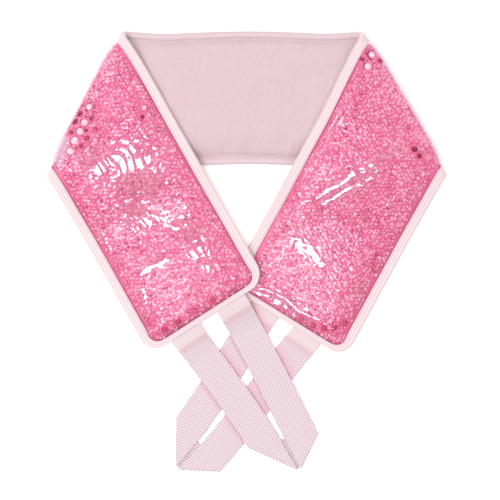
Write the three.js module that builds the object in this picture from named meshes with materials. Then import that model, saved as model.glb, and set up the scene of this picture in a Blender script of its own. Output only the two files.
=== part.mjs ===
// Hot and cold wrap for the neck: a long flat pad of gel beads, plush on one face, clear film on the other.
// It lies as the photograph shows it. The middle lies plush side up and both ends are folded forward over it,
// film side up. A flat webbing loop is sewn to each end, and the left side lies over the right.
// Millimetres, +X to the right, +Y away from the loops, +Z up. The origin is under the middle of the whole.
import * as THREE from 'three';
import { mergeVertices } from 'three/addons/utils/BufferGeometryUtils.js';

// Outline of the pad
const CENTRE_WIDTH = 101;
const FOLD_WIDTH = 111.5;
const FLAP_WIDTH = 108.5;
const CORNER_RADIUS = 14;
const CENTRE_DIP = 3.6;
const WIDTH_RUN = 60;

// Thicknesses and small clearances
const PLUSH_THICKNESS = 1.5;
const PLUSH_EDGE_THICKNESS = 0.95;
const FILM_THICKNESS = 0.6;
const LAYER_GAP = 0.3;
const CENTRE_GEL_DEPTH = 7;
const FOLD_GEL_DEPTH = 3.6;
const FLAP_GEL_DEPTH = 8;
const DOME_RUN = 20;
const DOME_POWER = 0.7;
const PUFF_RUN = 34;
const FOLD_FLAT = 5;
const GEL_RIM_SHARE = 0.6;

// Bound edge
const BINDING_WIDTH = 7.6;
const BINDING_CLOTH = 0.8;
const BINDING_WALL = 1.5;
const BINDING_ROUND = 0.35;
const BINDING_ROUND_SHARE = 0.7;
const SHEET_EDGE_INSET = BINDING_WALL + 0.5;
const LIP_CLEARANCE = 0.4;
const CHANNEL_CLEARANCE = 0.36;

// How the folded pad settles
const FOLD_RADIUS = 4.3;
const FOLD_TAPER = 0.25;
const STACK_CLEARANCE = 0.6;
const DRAPE_LEAD = 10;
const DRAPE_RUN = 60;
const CROSSING_CORE = 30;
const CROSSING_RUN = 60;
const CROSSING_LIFT = 6.9;
const CROSSING_SQUASH = 0.55;

// The two ends: the fold's distance from the middle, its slope from straight across, the flap beyond it
// and how far the flap bends sideways.
const LEFT = {
  side: -1,
  foldDistance: 118.2,
  foldAngle: 28.6,
  flapLength: 182.5,
  bendAngle: -3.2,
  bendRun: 60,
};
const RIGHT = {
  side: 1,
  foldDistance: 109.8,
  foldAngle: 31.3,
  flapLength: 184,
  bendAngle: 1.2,
  bendRun: 60,
};

// Webbing loops. Each runs from one seat on its flap's end to its point and back to a second seat.
// Angles are turns from the flap's own heading, in degrees.
const WEBBING_WIDTH = 25;
const WEBBING_THICKNESS = 1.2;
const WEBBING_GAP = 0.3;
const SEAT_GAP = 0.3;
const TIP_BLUNT = 1.4;
const LEG_LEAD = 0.75 * WEBBING_WIDTH;
const LOOP_LEFT = {
  end: LEFT,
  firstSeat: -21.5,
  secondSeat: 21.5,
  reach: 134.6,
  sway: 3.2,
  firstStart: 8,
  secondStart: 0,
  firstTurn: 0.4,
  secondTurn: -2.6,
  tipTurn: 71.4,
  layersBelow: 1,
  dropRun: 26,
  climbRun: 12,
};
const LOOP_RIGHT = {
  end: RIGHT,
  firstSeat: 19.5,
  secondSeat: -19.5,
  reach: 137,
  sway: -19.6,
  firstStart: -5,
  secondStart: -12,
  firstTurn: -11.6,
  secondTurn: -15.6,
  tipTurn: 67.4,
  layersBelow: 0,
  dropRun: 14,
  climbRun: 12,
};

// The middle line of the pad, as an inset from its edge
const SPINE = FLAP_WIDTH / 2;

// Steps of the meshes
const CENTRE_STEPS = 8;
const FOLD_STEPS = 7;
const FLAP_STOPS = [0.05, 0.11, 0.18, 0.26, 0.34, 0.43, 0.52, 0.61, 0.7, 0.79, 0.89, 1];
const CORNER_STEPS = 4;
const END_STEPS = 4;
const LEG_STEPS = 9;
const TURN_STEPS = 4;

const GEL_RING_STEPS = [2, 6, 12];
const INNER_RING = 30;
const CORRECTIONS = 5;
const MERGE_DISTANCE = 1e-3;
const SLOPE_STEP = 0.4;

const radians = THREE.MathUtils.degToRad;
const lerp = THREE.MathUtils.lerp;
const clamp = THREE.MathUtils.clamp;

function smooth(x) {
  return THREE.MathUtils.smoothstep(x, 0, 1);
}

// The fold's radius is largest at the pad's far edge, where the layers puff apart.
function foldRadius(t) {
  return FOLD_RADIUS * (1 + (2 * FOLD_TAPER * t) / FOLD_WIDTH);
}

function padLength(end) {
  return end.foldDistance + Math.PI * FOLD_RADIUS + end.flapLength;
}

// A point of the flat pattern, outward from the middle, before it is folded.
function flatPoint(end, q, t) {
  const dip = CENTRE_DIP * smooth(Math.min(q, end.foldDistance) / end.foldDistance);
  const bend = radians(end.bendAngle);
  const run = clamp(q - end.foldDistance, 0, end.bendRun);
  const turned = (bend * run) / end.bendRun;
  const straight = Math.max(q - end.foldDistance - end.bendRun, 0);
  const half = turned / 2;
  const chord = half === 0 ? run : (run * Math.sin(half)) / half;
  const x = Math.min(q, end.foldDistance) + chord * Math.cos(half) + straight * Math.cos(bend);
  const y = -dip + chord * Math.sin(half) + straight * Math.sin(bend);
  return [x - t * Math.sin(turned), y + t * Math.cos(turned)];
}

// How far a point of the flat pattern lies beyond the fold.
function beyondFold(end, q, t) {
  const angle = radians(end.foldAngle);
  const [x, y] = flatPoint(end, q, t);
  return (x - end.foldDistance) * Math.cos(angle) + (y + CENTRE_DIP) * Math.sin(angle);
}

// The distance along the pad, at t across it, that lies d beyond the fold.
function alongAt(end, d, t) {
  const angle = radians(end.foldAngle);
  let q = end.foldDistance - t * Math.tan(angle) + d / Math.cos(angle);
  for (let i = 0; i < CORRECTIONS; i += 1) {
    q -= (beyondFold(end, q, t) - d) / Math.cos(angle);
  }
  return q;
}

// The folded pattern seen from above, and how far round the fold the point is, from 0 to 1.
function planPoint(end, q, t) {
  const angle = radians(end.foldAngle);
  const [x, y] = flatPoint(end, q, t);
  const d = beyondFold(end, q, t);
  const radius = foldRadius(t);
  const psi = clamp(d / radius, 0, Math.PI);
  let shift = 0;
  if (d > 0) {
    shift = radius * Math.sin(psi) - d - Math.max(d - Math.PI * radius, 0);
  }
  return {
    x: end.side * (x + shift * Math.cos(angle)),
    y: y + shift * Math.sin(angle),
    turn: (1 - Math.cos(psi)) / 2,
    past: d - (Math.PI * radius) / 2,
  };
}

function widthAt(end, q) {
  const away = q - end.foldDistance;
  const blend = smooth(Math.abs(away) / WIDTH_RUN);
  return lerp(FOLD_WIDTH, away < 0 ? CENTRE_WIDTH : FLAP_WIDTH, blend);
}

// Distance in from the pad's rounded outline.
function insetAt(end, q, t) {
  const fromEnd = padLength(end) - q;
  const fromEdge = widthAt(end, q) / 2 - Math.abs(t);
  if (fromEnd < CORNER_RADIUS && fromEdge < CORNER_RADIUS) {
    return CORNER_RADIUS - Math.hypot(CORNER_RADIUS - fromEnd, CORNER_RADIUS - fromEdge);
  }
  return Math.min(fromEnd, fromEdge);
}

const GEL_EDGE = BINDING_WIDTH + LIP_CLEARANCE;

function domeAt(end, q, t) {
  const rise = clamp((insetAt(end, q, t) - GEL_EDGE) / DOME_RUN, 0, 1);
  return (1 - (1 - rise) ** 2) ** DOME_POWER;
}

// The corner of the right flap that the left flap lies on.
function crossingPoint() {
  const corner = planPoint(RIGHT, padLength(RIGHT), FLAP_WIDTH / 2);
  return [corner.x, corner.y];
}

function nearCrossing(plan) {
  const [x, y] = crossingPoint();
  const away = Math.hypot(plan.x - x, plan.y - y);
  return 1 - smooth((away - CROSSING_CORE) / CROSSING_RUN);
}

// Depth of the gel: shallow round the fold, full in the middle and in the flaps, squashed at the crossing.
function gelDepth(end, q, t) {
  const plan = planPoint(end, q, t);
  const open = smooth((Math.abs(plan.past) - FOLD_FLAT) / PUFF_RUN);
  const full = plan.past < 0 ? CENTRE_GEL_DEPTH : FLAP_GEL_DEPTH;
  let depth = lerp(FOLD_GEL_DEPTH, full, open);
  if (end === RIGHT && plan.past > 0) {
    depth *= 1 - CROSSING_SQUASH * nearCrossing(plan);
  }
  return depth * domeAt(end, q, t);
}

// Heights of the layers from the face where plush and gel meet: plush is positive, gel and film negative.
const HALF_GAP = LAYER_GAP / 2;
const PLUSH_OUTER = HALF_GAP + PLUSH_THICKNESS;
const PLUSH_EDGE_OUTER = HALF_GAP + PLUSH_EDGE_THICKNESS;
const CHANNEL_PLUSH = PLUSH_EDGE_OUTER + CHANNEL_CLEARANCE;
const CHANNEL_FILM = -(HALF_GAP + FILM_THICKNESS + CHANNEL_CLEARANCE);
const BINDING_PLUSH = CHANNEL_PLUSH + BINDING_CLOTH;
const BINDING_FILM = CHANNEL_FILM - BINDING_CLOTH;
const FILM_STACK = HALF_GAP + LAYER_GAP + FILM_THICKNESS;

function centreHeight(end, q, t) {
  const edge = 1 - domeAt(end, q, t);
  return FILM_STACK + gelDepth(end, q, t) + edge * (-BINDING_FILM - FILM_STACK);
}

function flapHeight(end, q, t, plan) {
  const edge = 1 - domeAt(end, q, t);
  const onTable = PLUSH_OUTER + edge * (BINDING_PLUSH - PLUSH_OUTER);
  const overCentre = FILM_STACK + CENTRE_GEL_DEPTH + PLUSH_OUTER + STACK_CLEARANCE;
  const lowEdge = -CENTRE_DIP * smooth(Math.abs(plan.x) / end.foldDistance) - CENTRE_WIDTH / 2;
  const fall = smooth((lowEdge - plan.y + DRAPE_LEAD) / DRAPE_RUN);
  const lift = end === LEFT ? CROSSING_LIFT * nearCrossing(plan) : 0;
  return onTable + overCentre * (1 - fall) + lift;
}

function surfacePoint(end, q, t) {
  const plan = planPoint(end, q, t);
  const z = lerp(centreHeight(end, q, t), flapHeight(end, q, t, plan), plan.turn);
  return new THREE.Vector3(plan.x, plan.y, z);
}

// A point of the folded pad: along and across it, and h off the meeting face on its plush side.
function padPoint(end, q, t, h) {
  const along = surfacePoint(end, q + SLOPE_STEP, t).sub(surfacePoint(end, q - SLOPE_STEP, t));
  const across = surfacePoint(end, q, t + SLOPE_STEP).sub(surfacePoint(end, q, t - SLOPE_STEP));
  const normal = along.cross(across).multiplyScalar(end.side).normalize();
  return surfacePoint(end, q, t).addScaledVector(normal, h);
}

// The stations round the pad, in order: far edge left to right, right end, near edge back, left end.
function stationsRound() {
  const stations = [];
  const flapOut = (end, edge) => FLAP_STOPS.map((stop) => ({ kind: 'flap', end, edge, stop }));
  const foldOut = (end, edge) => {
    const steps = Array.from({ length: FOLD_STEPS + 1 }, (_, i) => i / FOLD_STEPS);
    return steps.map((stop) => ({ kind: 'fold', end, edge, stop }));
  };
  const cornerOut = (end, edge) => {
    const steps = Array.from({ length: CORNER_STEPS }, (_, i) => (i + 1) / CORNER_STEPS);
    return steps.map((stop) => ({ kind: 'corner', end, edge, stop }));
  };
  const edgeOut = (end, edge) => [...foldOut(end, edge), ...flapOut(end, edge), ...cornerOut(end, edge)];
  const centre = (edge) => {
    const steps = Array.from({ length: CENTRE_STEPS - 1 }, (_, i) => (i + 1) / CENTRE_STEPS);
    return steps.map((stop) => ({ kind: 'centre', edge, stop }));
  };
  const across = (end) => {
    const steps = Array.from({ length: END_STEPS - 1 }, (_, i) => (i + 1) / END_STEPS);
    return steps.map((stop) => ({ kind: 'end', end, stop }));
  };
  stations.push(...edgeOut(LEFT, 1).reverse(), ...centre(1), ...edgeOut(RIGHT, 1), ...across(RIGHT));
  stations.push(...edgeOut(RIGHT, -1).reverse(), ...centre(-1).reverse(), ...edgeOut(LEFT, -1));
  stations.push(...across(LEFT).reverse());
  return stations;
}

// Half the ring's width: a fixed inset near the edge, and a share of the pad's width further in.
function halfWidth(width, inset) {
  return inset > DOME_RUN ? (width / 2) * (1 - inset / SPINE) : width / 2 - inset;
}

// Where a station lies on the ring that runs the given inset inside the outline.
function ringPlace(station, inset) {
  const { kind, edge, stop } = station;
  let { end } = station;
  const round = Math.max(CORNER_RADIUS - inset, 0);
  const back = Math.max(CORNER_RADIUS, inset);
  const endT = SPINE - back;
  if (kind === 'corner') {
    const angle = (stop * Math.PI) / 2;
    const q = padLength(end) - back + round * Math.sin(angle);
    return { end, q, t: edge * (endT + round * Math.cos(angle)) };
  }
  if (kind === 'end') {
    return { end, q: padLength(end) - inset, t: lerp(endT, -endT, stop) };
  }
  let t = edge * halfWidth(FOLD_WIDTH, inset);
  let q = 0;
  for (let i = 0; i < CORRECTIONS; i += 1) {
    if (kind === 'centre') {
      const s = lerp(-alongAt(LEFT, 0, t), alongAt(RIGHT, 0, t), stop);
      end = s < 0 ? LEFT : RIGHT;
      q = Math.abs(s);
    } else if (kind === 'fold') {
      q = alongAt(end, stop * Math.PI * foldRadius(t), t);
    } else {
      q = lerp(alongAt(end, Math.PI * foldRadius(t), t), padLength(end) - back, stop);
    }
    t = edge * halfWidth(widthAt(end, q), inset);
  }
  return { end, q, t };
}

// A closed body from loops of points round the pad. A binding's last loop joins its first again, while a
// sheet's two end loops lie closed on the middle line of the pad. A sheet's first face splits its
// quads the other way, so that two sheets that lie together crease along the same lines.
function bodyFromRings(rings, wrapsRound) {
  const count = rings[0].length;
  const mirrored = wrapsRound ? 0 : rings.length / 2;
  const positions = rings.flat().flatMap((p) => [p.x, p.y, p.z]);
  const index = [];
  const bands = wrapsRound ? rings.length : rings.length - 1;
  for (let r = 0; r < bands; r += 1) {
    const next = (r + 1) % rings.length;
    for (let i = 0; i < count; i += 1) {
      const j = (i + 1) % count;
      const a = r * count + i;
      const b = r * count + j;
      const c = next * count + j;
      const d = next * count + i;
      if (r < mirrored) {
        index.push(a, b, d, b, c, d);
      } else {
        index.push(a, b, c, a, c, d);
      }
    }
  }
  return closedGeometry(positions, index);
}

// Shared points are merged and faces that collapse are dropped, so that the body is closed.
function closedGeometry(positions, index) {
  let geometry = new THREE.BufferGeometry();
  geometry.setAttribute('position', new THREE.Float32BufferAttribute(positions, 3));
  geometry.setIndex(index);
  geometry = mergeVertices(geometry, MERGE_DISTANCE);
  const merged = geometry.index.array;
  const kept = [];
  for (let i = 0; i < merged.length; i += 3) {
    const [a, b, c] = [merged[i], merged[i + 1], merged[i + 2]];
    if (a !== b && b !== c && a !== c) {
      kept.push(a, b, c);
    }
  }
  geometry.setIndex(kept);
  geometry.computeVertexNormals();
  return geometry;
}

const STATIONS = stationsRound();

// One loop of points at a given inset, with its height worked out where each point lies.
function ring(inset, heightAt) {
  return STATIONS.map((station) => {
    const place = ringPlace(station, inset);
    return padPoint(place.end, place.q, place.t, heightAt(place));
  });
}

function sheet(insets, innerHeight, outerHeight) {
  const inner = insets.map((inset) => ring(inset, (place) => innerHeight(place, inset)));
  const outer = insets.map((inset) => ring(inset, (place) => outerHeight(place, inset)));
  return bodyFromRings([...inner.reverse(), ...outer], false);
}

// The rings that all the layers share over the gel, so that they follow each other closely.
const GEL_RINGS = [...GEL_RING_STEPS.map((step) => GEL_EDGE + step), INNER_RING, SPINE];
const RIM_RINGS = [SHEET_EDGE_INSET, GEL_EDGE];

// Plush backing: full thickness inside, pressed thin where the binding grips it.
function plushBacking() {
  const outer = (place, inset) => (inset > GEL_EDGE ? PLUSH_OUTER : PLUSH_EDGE_OUTER);
  return sheet([...RIM_RINGS, ...GEL_RINGS], outer, () => HALF_GAP);
}

// Clear front film: flat under the binding, domed over the gel.
function frontFilm() {
  const under = ({ end, q, t }, inset) => {
    const seated = inset > GEL_EDGE ? LAYER_GAP : 0;
    return -(HALF_GAP + seated + gelDepth(end, q, t));
  };
  const over = (place, inset) => under(place, inset) - FILM_THICKNESS;
  return sheet([...RIM_RINGS, ...GEL_RINGS], under, over);
}

// Gel beads: one crowned body between the plush and the film.
function gelFill() {
  const front = ({ end, q, t }, inset) => {
    const share = inset === GEL_RINGS[0] ? GEL_RIM_SHARE : 1;
    return -(HALF_GAP + share * gelDepth(end, q, t));
  };
  return sheet(GEL_RINGS, () => -HALF_GAP, front);
}

// Bound edge: cloth folded over the rim, open inside for the layers that it holds.
function boundEdge() {
  const section = [
    { inset: BINDING_WIDTH, h: CHANNEL_PLUSH },
    { inset: BINDING_WIDTH, h: BINDING_PLUSH },
    { inset: BINDING_WALL, h: BINDING_PLUSH },
    { inset: BINDING_ROUND, h: BINDING_PLUSH * BINDING_ROUND_SHARE },
    { inset: 0, h: HALF_GAP },
    { inset: BINDING_ROUND, h: BINDING_FILM * BINDING_ROUND_SHARE },
    { inset: BINDING_WALL, h: BINDING_FILM },
    { inset: BINDING_WIDTH, h: BINDING_FILM },
    { inset: BINDING_WIDTH, h: CHANNEL_FILM },
    { inset: BINDING_WALL, h: CHANNEL_FILM },
    { inset: BINDING_WALL, h: CHANNEL_PLUSH },
  ];
  return bodyFromRings(section.map(({ inset, h }) => ring(inset, () => h)), true);
}

function headingVector(degrees) {
  return new THREE.Vector2(Math.cos(radians(degrees)), Math.sin(radians(degrees)));
}

// The middle of a flap's end seen from above, and the heading in degrees that the flap runs out at.
function flapEnd(end) {
  const length = padLength(end);
  const out = planPoint(end, length, 0);
  const before = planPoint(end, length - 1, 0);
  const middle = new THREE.Vector2(out.x, out.y);
  const heading = THREE.MathUtils.radToDeg(Math.atan2(out.y - before.y, out.x - before.x));
  return { middle, heading };
}

// A leg's seat: the two corners of the webbing where it is sewn to the middle of the bound edge.
function seatPair(loop, seat) {
  const across = Math.sign(seat) * (WEBBING_WIDTH / 2);
  const place = (t) => padPoint(loop.end, padLength(loop.end) + SEAT_GAP, t, HALF_GAP);
  return { outer: place(seat + across), inner: place(seat - across) };
}

// One mitre fold of the loop's point: the webbing's outer and inner corners on it, and its way out.
function mitre(point, lineHeading, tipHeading, wayBack, legHeading) {
  const line = headingVector(lineHeading).multiplyScalar(wayBack);
  const length = WEBBING_WIDTH / Math.abs(Math.sin(radians(lineHeading - tipHeading)));
  const outer = point.clone().addScaledVector(line, length);
  const inner = point.clone().addScaledVector(line, TIP_BLUNT);
  const away = new THREE.Vector2(-line.y, line.x);
  if (away.dot(headingVector(legHeading)) < 0) {
    away.negate();
  }
  return { outer, inner, away };
}

const LOW_LEVEL = WEBBING_THICKNESS / 2;
const HIGH_LEVEL = LOW_LEVEL + WEBBING_THICKNESS + WEBBING_GAP;

// The stations of one leg, from its seat on the flap down to its mitre fold.
function legStations(loop, seat, fold, startHeading, legHeading) {
  const { outer, inner } = seatPair(loop, seat);
  const start = new THREE.Vector2(outer.x + inner.x, outer.y + inner.y).multiplyScalar(0.5);
  const finish = fold.outer.clone().add(fold.inner).multiplyScalar(0.5);
  const length = start.distanceTo(finish);
  const startHandle = start.clone().addScaledVector(headingVector(startHeading), length / 3);
  const finishHandle = finish.clone().addScaledVector(headingVector(legHeading), -length / 3);
  const curve = new THREE.CubicBezierCurve(start, startHandle, finishHandle, finish);
  const last = 1 - LEG_LEAD / length;
  const level = lerp(LOW_LEVEL, HIGH_LEVEL, loop.layersBelow);
  const stations = [{ outer: outer.toArray(), inner: inner.toArray(), normal: [0, 0, 1] }];
  for (let i = 1; i <= LEG_STEPS; i += 1) {
    const u = (i / LEG_STEPS) * last;
    const middle = curve.getPoint(u);
    const tangent = curve.getTangent(u);
    const across = new THREE.Vector2(-tangent.y, tangent.x);
    if (across.dot(fold.outer.clone().sub(fold.inner)) < 0) {
      across.negate();
    }
    across.multiplyScalar(WEBBING_WIDTH / 2);
    const drop = smooth((u * length) / loop.dropRun);
    const climb = smooth(1 - ((last - u) * length) / loop.climbRun);
    const settled = lerp(level, HIGH_LEVEL, climb);
    stations.push({
      outer: [middle.x + across.x, middle.y + across.y, lerp(outer.z, settled, drop)],
      inner: [middle.x - across.x, middle.y - across.y, lerp(inner.z, settled, drop)],
      normal: [0, 0, 1],
    });
  }
  return stations;
}

// The webbing turning under along a mitre fold, from the upper layer to the lower one.
function turnStations(fold) {
  const half = (HIGH_LEVEL - LOW_LEVEL) / 2;
  const stations = [];
  for (let i = 0; i <= TURN_STEPS; i += 1) {
    const angle = (i / TURN_STEPS) * Math.PI;
    const out = half * Math.sin(angle);
    const z = LOW_LEVEL + half + half * Math.cos(angle);
    const place = (p) => [p.x + fold.away.x * out, p.y + fold.away.y * out, z];
    const side = Math.sin(angle);
    stations.push({
      outer: place(fold.outer),
      inner: place(fold.inner),
      normal: [fold.away.x * side, fold.away.y * side, Math.cos(angle)],
    });
  }
  return stations;
}

// A whole loop: down one leg, round its point with the end piece underneath, and up the other leg.
function webbingLoop(loop) {
  const { middle, heading } = flapEnd(loop.end);
  const out = headingVector(heading);
  const sideways = new THREE.Vector2(-out.y, out.x);
  const point = middle.clone().addScaledVector(out, loop.reach).addScaledVector(sideways, loop.sway);
  const first = heading + loop.firstTurn;
  const second = heading + loop.secondTurn;
  const tip = heading + loop.tipTurn;
  const firstFold = mitre(point, (first + tip) / 2, tip, -1, first);
  const secondFold = mitre(point, (tip + second + 180) / 2, tip, 1, second);
  const stations = [
    ...legStations(loop, loop.firstSeat, firstFold, heading + loop.firstStart, first),
    ...turnStations(firstFold),
    ...turnStations(secondFold).reverse(),
    ...legStations(loop, loop.secondSeat, secondFold, heading + loop.secondStart, second).reverse(),
  ];
  return ribbon(stations);
}

// A flat ribbon of webbing through its stations, closed at both ends.
function ribbon(stations) {
  const half = WEBBING_THICKNESS / 2;
  const positions = stations.flatMap(({ outer, inner, normal }) => {
    const off = (p, sign) => p.map((value, axis) => value + sign * half * normal[axis]);
    return [...off(outer, 1), ...off(inner, 1), ...off(inner, -1), ...off(outer, -1)];
  });
  const corners = 4;
  const index = [];
  for (let k = 0; k < stations.length - 1; k += 1) {
    for (let c = 0; c < corners; c += 1) {
      const a = k * corners + c;
      const b = k * corners + ((c + 1) % corners);
      index.push(a, b + corners, b, a, a + corners, b + corners);
    }
  }
  const end = (stations.length - 1) * corners;
  index.push(0, 1, 2, 0, 2, 3, end, end + 2, end + 1, end, end + 3, end + 2);
  return closedGeometry(positions, index);
}

const materials = {
  plush: new THREE.MeshStandardMaterial({ color: 0xf3c9d6, roughness: 0.95, metalness: 0 }),
  film: new THREE.MeshStandardMaterial({
    color: 0xffe6ef,
    roughness: 0.08,
    metalness: 0,
    transparent: true,
    opacity: 0.35,
  }),
  gel: new THREE.MeshStandardMaterial({ color: 0xf0609a, roughness: 0.2, metalness: 0 }),
  binding: new THREE.MeshStandardMaterial({ color: 0xf8d5de, roughness: 0.8, metalness: 0 }),
  webbing: new THREE.MeshStandardMaterial({ color: 0xf6cdd9, roughness: 0.85, metalness: 0 }),
};

function named(name, geometry, material) {
  const mesh = new THREE.Mesh(geometry, material);
  mesh.name = name;
  return mesh;
}

const wrap = new THREE.Group();
wrap.add(named('backing_fabric', plushBacking(), materials.plush));
wrap.add(named('clear_film', frontFilm(), materials.film));
wrap.add(named('gel_bead_fill', gelFill(), materials.gel));
wrap.add(named('edge_binding', boundEdge(), materials.binding));
wrap.add(named('strap_loop_left', webbingLoop(LOOP_LEFT), materials.webbing));
wrap.add(named('strap_loop_right', webbingLoop(LOOP_RIGHT), materials.webbing));

const box = new THREE.Box3().setFromObject(wrap);
const middle = box.getCenter(new THREE.Vector3());
wrap.position.set(-middle.x, -middle.y, -box.min.z);

export default wrap;
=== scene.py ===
import bpy
import numpy as np
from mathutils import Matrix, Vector


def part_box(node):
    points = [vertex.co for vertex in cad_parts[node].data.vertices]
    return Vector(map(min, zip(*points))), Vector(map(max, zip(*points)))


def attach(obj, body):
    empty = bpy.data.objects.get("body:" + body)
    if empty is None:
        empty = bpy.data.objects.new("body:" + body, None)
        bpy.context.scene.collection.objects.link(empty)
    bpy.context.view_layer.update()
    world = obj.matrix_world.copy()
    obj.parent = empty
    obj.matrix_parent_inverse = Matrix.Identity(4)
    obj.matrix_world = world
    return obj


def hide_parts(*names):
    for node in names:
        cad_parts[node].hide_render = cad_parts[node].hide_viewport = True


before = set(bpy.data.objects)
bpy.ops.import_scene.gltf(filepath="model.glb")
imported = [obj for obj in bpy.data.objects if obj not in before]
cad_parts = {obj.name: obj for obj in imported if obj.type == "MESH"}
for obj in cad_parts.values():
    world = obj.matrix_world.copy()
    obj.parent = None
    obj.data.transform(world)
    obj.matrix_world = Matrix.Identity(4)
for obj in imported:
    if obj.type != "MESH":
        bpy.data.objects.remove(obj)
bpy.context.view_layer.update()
rng = np.random.default_rng(11)

# Plush backing
# One strip of short-pile plush, cut with rounded ends and folded forward twice, with the pile inside
# both folds. It is held only by the binding along its rim.

# Sizes in millimetres, as the solids have them
MM = 0.001
CENTRE_WIDTH = 101
FOLD_WIDTH = 111.5
FLAP_WIDTH = 108.5
CORNER_RADIUS = 14
CENTRE_DIP = 3.6
WIDTH_RUN = 60
CENTRE_GEL_DEPTH = 7
FOLD_GEL_DEPTH = 3.6
FLAP_GEL_DEPTH = 8
DOME_RUN = 20
DOME_POWER = 0.7
PUFF_RUN = 34
FOLD_FLAT = 5
FOLD_RADIUS = 4.3
FOLD_TAPER = 0.25
STACK_CLEARANCE = 0.6
DRAPE_LEAD = 10
DRAPE_RUN = 60
CROSSING_CORE = 30
CROSSING_RUN = 60
CROSSING_LIFT = 6.9
CROSSING_SQUASH = 0.55
FILM_THICKNESS = 0.6
PLUSH_THICKNESS = 1.5
PLUSH_EDGE_THICKNESS = 0.95
LAYER_GAP = 0.3
HALF_GAP = LAYER_GAP / 2
BINDING_WIDTH = 7.6
BINDING_CLOTH = 0.8
CHANNEL_CLEARANCE = 0.36
GEL_EDGE = BINDING_WIDTH + 0.4
LIP_TURN = 20
END_BULGE = 0.46
PLUSH_LIP = 4.8
RIM_INSET = 2.0
PLUSH_OUTER = HALF_GAP + PLUSH_THICKNESS
BINDING_PLUSH = HALF_GAP + PLUSH_EDGE_THICKNESS + CHANNEL_CLEARANCE + BINDING_CLOTH
BINDING_FILM = -(HALF_GAP + FILM_THICKNESS + CHANNEL_CLEARANCE + BINDING_CLOTH)
FILM_STACK = HALF_GAP + LAYER_GAP + FILM_THICKNESS

# One row for each end: which side, the fold's distance and slope, the flap's length and its sideways bend
ENDS = {
    "side": (-1, 1),
    "fold_at": (118.2, 109.8),
    "slope": (np.radians(28.6), np.radians(31.3)),
    "flap": (182.5, 184),
    "bend": (np.radians(-3.2), np.radians(1.2)),
}
BEND_RUN = 60


def of_end(s, name):
    """The end's value for each distance s along the pad: s is negative towards the left end."""
    return np.where(s < 0, ENDS[name][0], ENDS[name][1])


def smooth(x):
    """Smooth step from 0 to 1: three x squared less two x cubed, held outside 0 to 1."""
    x = np.clip(x, 0, 1)
    return x * x * (3 - 2 * x)


def fold_radius(t):
    """The fold is a half turn whose radius grows evenly from the near edge to the far one."""
    return FOLD_RADIUS * (1 + 2 * FOLD_TAPER * t / FOLD_WIDTH)


def pad_length(s):
    """Distance from the middle to the end: to the fold, half a turn round it, and along the flap."""
    return of_end(s, "fold_at") + np.pi * FOLD_RADIUS + of_end(s, "flap")


def flat_place(s, t):
    """The unfolded strip, outward from its middle: straight, an arc of the flap's bend, and straight."""
    q, fold_at, bend = np.abs(s), of_end(s, "fold_at"), of_end(s, "bend")
    dip = CENTRE_DIP * smooth(np.minimum(q, fold_at) / fold_at)
    run = np.clip(q - fold_at, 0, BEND_RUN)
    turned = bend * run / BEND_RUN
    straight = np.maximum(q - fold_at - BEND_RUN, 0)
    chord = run * np.sinc(turned / 2 / np.pi)
    x = np.minimum(q, fold_at) + chord * np.cos(turned / 2) + straight * np.cos(bend)
    y = -dip + chord * np.sin(turned / 2) + straight * np.sin(bend)
    return x - t * np.sin(turned), y + t * np.cos(turned)


def beyond_fold(s, t):
    """Distance of the unfolded point from the fold's start, square to the fold."""
    x, y = flat_place(s, t)
    slope = of_end(s, "slope")
    return (x - of_end(s, "fold_at")) * np.cos(slope) + (y + CENTRE_DIP) * np.sin(slope)


def along_at(side, d, t):
    """The distance along the pad that lies d beyond the fold at t across it, by five corrections."""
    slope = of_end(side, "slope")
    q = of_end(side, "fold_at") - t * np.tan(slope) + d / np.cos(slope)
    for _ in range(5):
        q = q - (beyond_fold(side * q, t) - d) / np.cos(slope)
    return q


def plan_place(s, t):
    """The folded strip from above: past the fold the distance turns round a half circle and comes back."""
    slope, radius = of_end(s, "slope"), fold_radius(t)
    x, y = flat_place(s, t)
    d = beyond_fold(s, t)
    round_fold = np.clip(d / radius, 0, np.pi)
    back = radius * np.sin(round_fold) - d - np.maximum(d - np.pi * radius, 0)
    shift = np.where(d > 0, back, 0)
    px = of_end(s, "side") * (x + shift * np.cos(slope))
    py = y + shift * np.sin(slope)
    return px, py, (1 - np.cos(round_fold)) / 2, d - np.pi * radius / 2


def width_at(s):
    """Pad width: widest at the folds, where the gel is shallow, and easing to the middle and the flaps."""
    away = np.abs(s) - of_end(s, "fold_at")
    side = np.where(away < 0, CENTRE_WIDTH, FLAP_WIDTH)
    return FOLD_WIDTH + (side - FOLD_WIDTH) * smooth(np.abs(away) / WIDTH_RUN)


def inset_at(s, t):
    """Distance in from the outline, with the end corners rounded."""
    from_end = pad_length(s) - np.abs(s)
    from_edge = width_at(s) / 2 - np.abs(t)
    corner = CORNER_RADIUS - np.hypot(CORNER_RADIUS - from_end, CORNER_RADIUS - from_edge)
    in_corner = (from_end < CORNER_RADIUS) & (from_edge < CORNER_RADIUS)
    return np.where(in_corner, corner, np.minimum(from_end, from_edge))


def lip_share(s, t):
    """Share of the binding that shows: all of it along the pad, and about half at the two ends, where
    the pouch bulges over it."""
    to_end = np.maximum(LIP_TURN - (pad_length(s) - np.abs(s)), 0)
    to_edge = np.maximum(LIP_TURN - (width_at(s) / 2 - np.abs(t)), 0)
    return 1 - END_BULGE * smooth(np.arctan2(to_end, to_edge + 1e-6) / (np.pi / 2))


def pouch_inset(s, t):
    """Distance in from the outline, stretched so that the pouch starts at the same value all round."""
    return inset_at(s, t) / lip_share(s, t)


def dome_at(s, t):
    """The pouch rises from its rim like a pillow's edge: one less a square, to a power."""
    rise = np.clip((pouch_inset(s, t) - GEL_EDGE) / DOME_RUN, 0, 1)
    return (1 - (1 - rise) ** 2) ** DOME_POWER


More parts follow.
